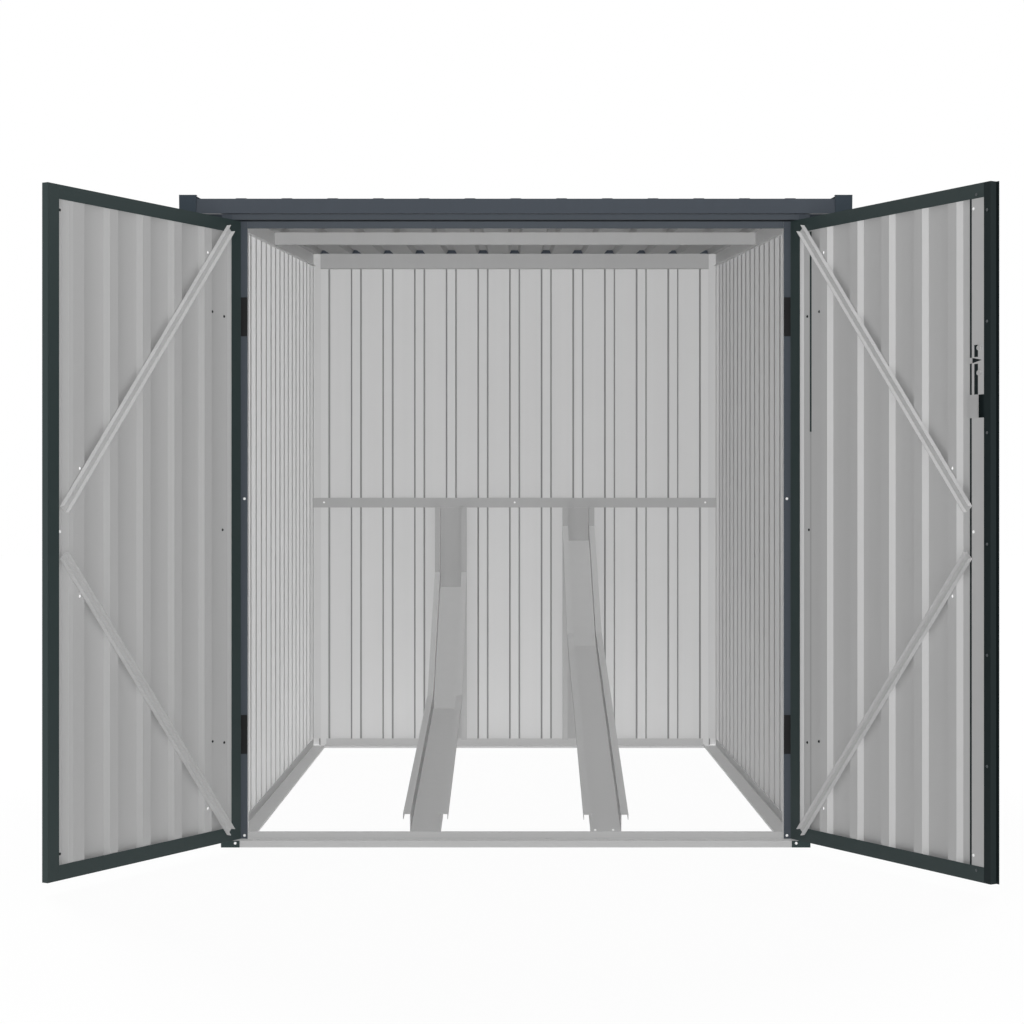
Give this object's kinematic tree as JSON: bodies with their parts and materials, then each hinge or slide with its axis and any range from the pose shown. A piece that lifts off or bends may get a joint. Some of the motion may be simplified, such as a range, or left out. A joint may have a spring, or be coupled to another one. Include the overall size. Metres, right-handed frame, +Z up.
{
  "type": "metal bike shed with two hinged doors",
  "caption": "Sheet-steel bike shed with a pent roof, ribbed walls, two outward hinged doors, an open floor inside a base frame and hat-shaped wheel guides that climb to the back wall.",
  "frame": {"origin": "middle of the front sill's underside, on the ground", "axes": "+X to the right seen from the doors, +Y from the doors to the back wall, +Z up"},
  "size_m": [2.1014, 2.8392, 1.7906],
  "materials": {
    "anthracite": "satin powder coat",
    "cladding": "coil-coated sheet, light grey inside and anthracite outside",
    "light_grey": "satin coil coat",
    "hinge_black": "matt black",
    "lock_steel": "zinc plated"
  },
  "bodies": {
    "shed": {"front_sill": "light_grey", "front_left_post": "anthracite", "front_right_post": "anthracite", "front_foot_brackets": "anthracite", "left_base_rail": "light_grey", "right_base_rail": "light_grey", "back_base_rail": "light_grey", "left_wall": "cladding", "right_wall": "cladding", "back_wall": "cladding", "back_posts": "light_grey", "door_lintel": "anthracite", "side_top_rails": "light_grey", "back_top_rail": "light_grey", "back_mid_rail": "light_grey", "roof_purlin": "light_grey", "roof_sheet": "cladding", "front_fascia": "anthracite", "back_fascia": "anthracite", "roof_verges": "anthracite", "roof_corner_caps": "anthracite", "left_wheel_ramp": "light_grey", "left_wheel_riser": "light_grey", "left_wheel_post": "light_grey", "right_wheel_ramp": "light_grey", "right_wheel_riser": "light_grey", "right_wheel_post": "light_grey", "frame_hinges": "hinge_black"},
    "left_door": {"left_door_hinge_stile": "anthracite", "left_door_lock_stile": "anthracite", "left_door_top_rail": "anthracite", "left_door_bottom_rail": "anthracite", "left_door_sheet": "cladding", "left_door_braces": "light_grey", "left_door_hinges": "hinge_black"},
    "right_door": {"right_door_hinge_stile": "anthracite", "right_door_lock_stile": "anthracite", "right_door_top_rail": "anthracite", "right_door_bottom_rail": "anthracite", "right_door_sheet": "cladding", "right_door_braces": "light_grey", "right_door_hinges": "hinge_black", "right_door_astragal": "anthracite", "right_door_lock_strip": "light_grey", "right_door_lock": "lock_steel"}
  },
  "joints": [
    {"name": "left_door_hinge", "type": "hinge", "parent": "shed", "child": "left_door", "pos_m": [-0.702, -0.031, 0.8], "axis": [0, 0, -1], "range_deg": [-120, 50]},
    {"name": "right_door_hinge", "type": "hinge", "parent": "shed", "child": "right_door", "pos_m": [0.702, -0.031, 0.8], "axis": [0, 0, 1], "range_deg": [-120, 50]}
  ]
}
